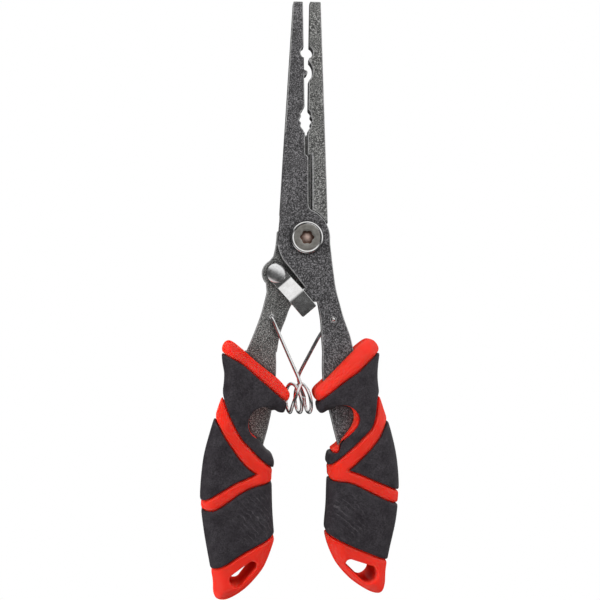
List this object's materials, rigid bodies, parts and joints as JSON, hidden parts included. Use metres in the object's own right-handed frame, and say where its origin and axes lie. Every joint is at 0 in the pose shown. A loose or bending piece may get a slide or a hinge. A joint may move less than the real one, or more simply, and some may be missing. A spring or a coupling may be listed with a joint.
{
  "type": "fishing pliers",
  "caption": "Long-nosed hand pliers with crimping and toothed hollows, side cutter, sprung handles, swinging latch and soft two-colour grips with lanyard slots.",
  "frame": {"origin": "on the pivot axis, in the plane where the two lever plates lap", "axes": "+Z towards the jaw tips, +X to the right seen from the screw head's side, +Y towards the nut"},
  "size_m": [0.0693, 0.017, 0.2085],
  "materials": {
    "coated_steel": "fine speckled dark grey powder coat",
    "satin_steel": "satin turned, bright rim",
    "polished_steel": "polished",
    "red_plastic": "semi-gloss moulded",
    "black_rubber": "matte soft-touch"
  },
  "bodies": {
    "pivot": {"pivot_screw": "satin_steel", "pivot_nut": "satin_steel", "pivot_washer": "satin_steel", "torsion_spring": "polished_steel"},
    "front_lever": {"front_lever": "coated_steel", "right_grip_core": "red_plastic", "right_upper_pad": "black_rubber", "right_middle_pad": "black_rubber", "right_lower_pad": "black_rubber"},
    "rear_lever": {"rear_lever": "coated_steel", "left_grip_core": "red_plastic", "left_upper_pad": "black_rubber", "left_middle_pad": "black_rubber", "left_lower_pad": "black_rubber", "latch_rivet": "polished_steel", "latch_washer": "satin_steel"},
    "latch": {"latch": "polished_steel"}
  },
  "joints": [
    {"name": "front_lever_pivot", "type": "hinge", "parent": "pivot", "child": "front_lever", "pos_m": [0, 0, 0], "axis": [0, -1, 0], "range_deg": [-0.75, 13], "deforming": ["torsion_spring"]},
    {"name": "rear_lever_pivot", "type": "hinge", "parent": "pivot", "child": "rear_lever", "pos_m": [0, 0, 0], "axis": [0, 1, 0], "range_deg": [-0.75, 13]},
    {"name": "latch_pivot", "type": "hinge", "parent": "rear_lever", "child": "latch", "pos_m": [-0.0104, 0, -0.0124], "axis": [0, 1, 0], "range_deg": [-2, 35]}
  ],
  "couplings": [
    {"joint": "rear_lever_pivot", "follows": "front_lever_pivot", "ratio": 1}
  ]
}
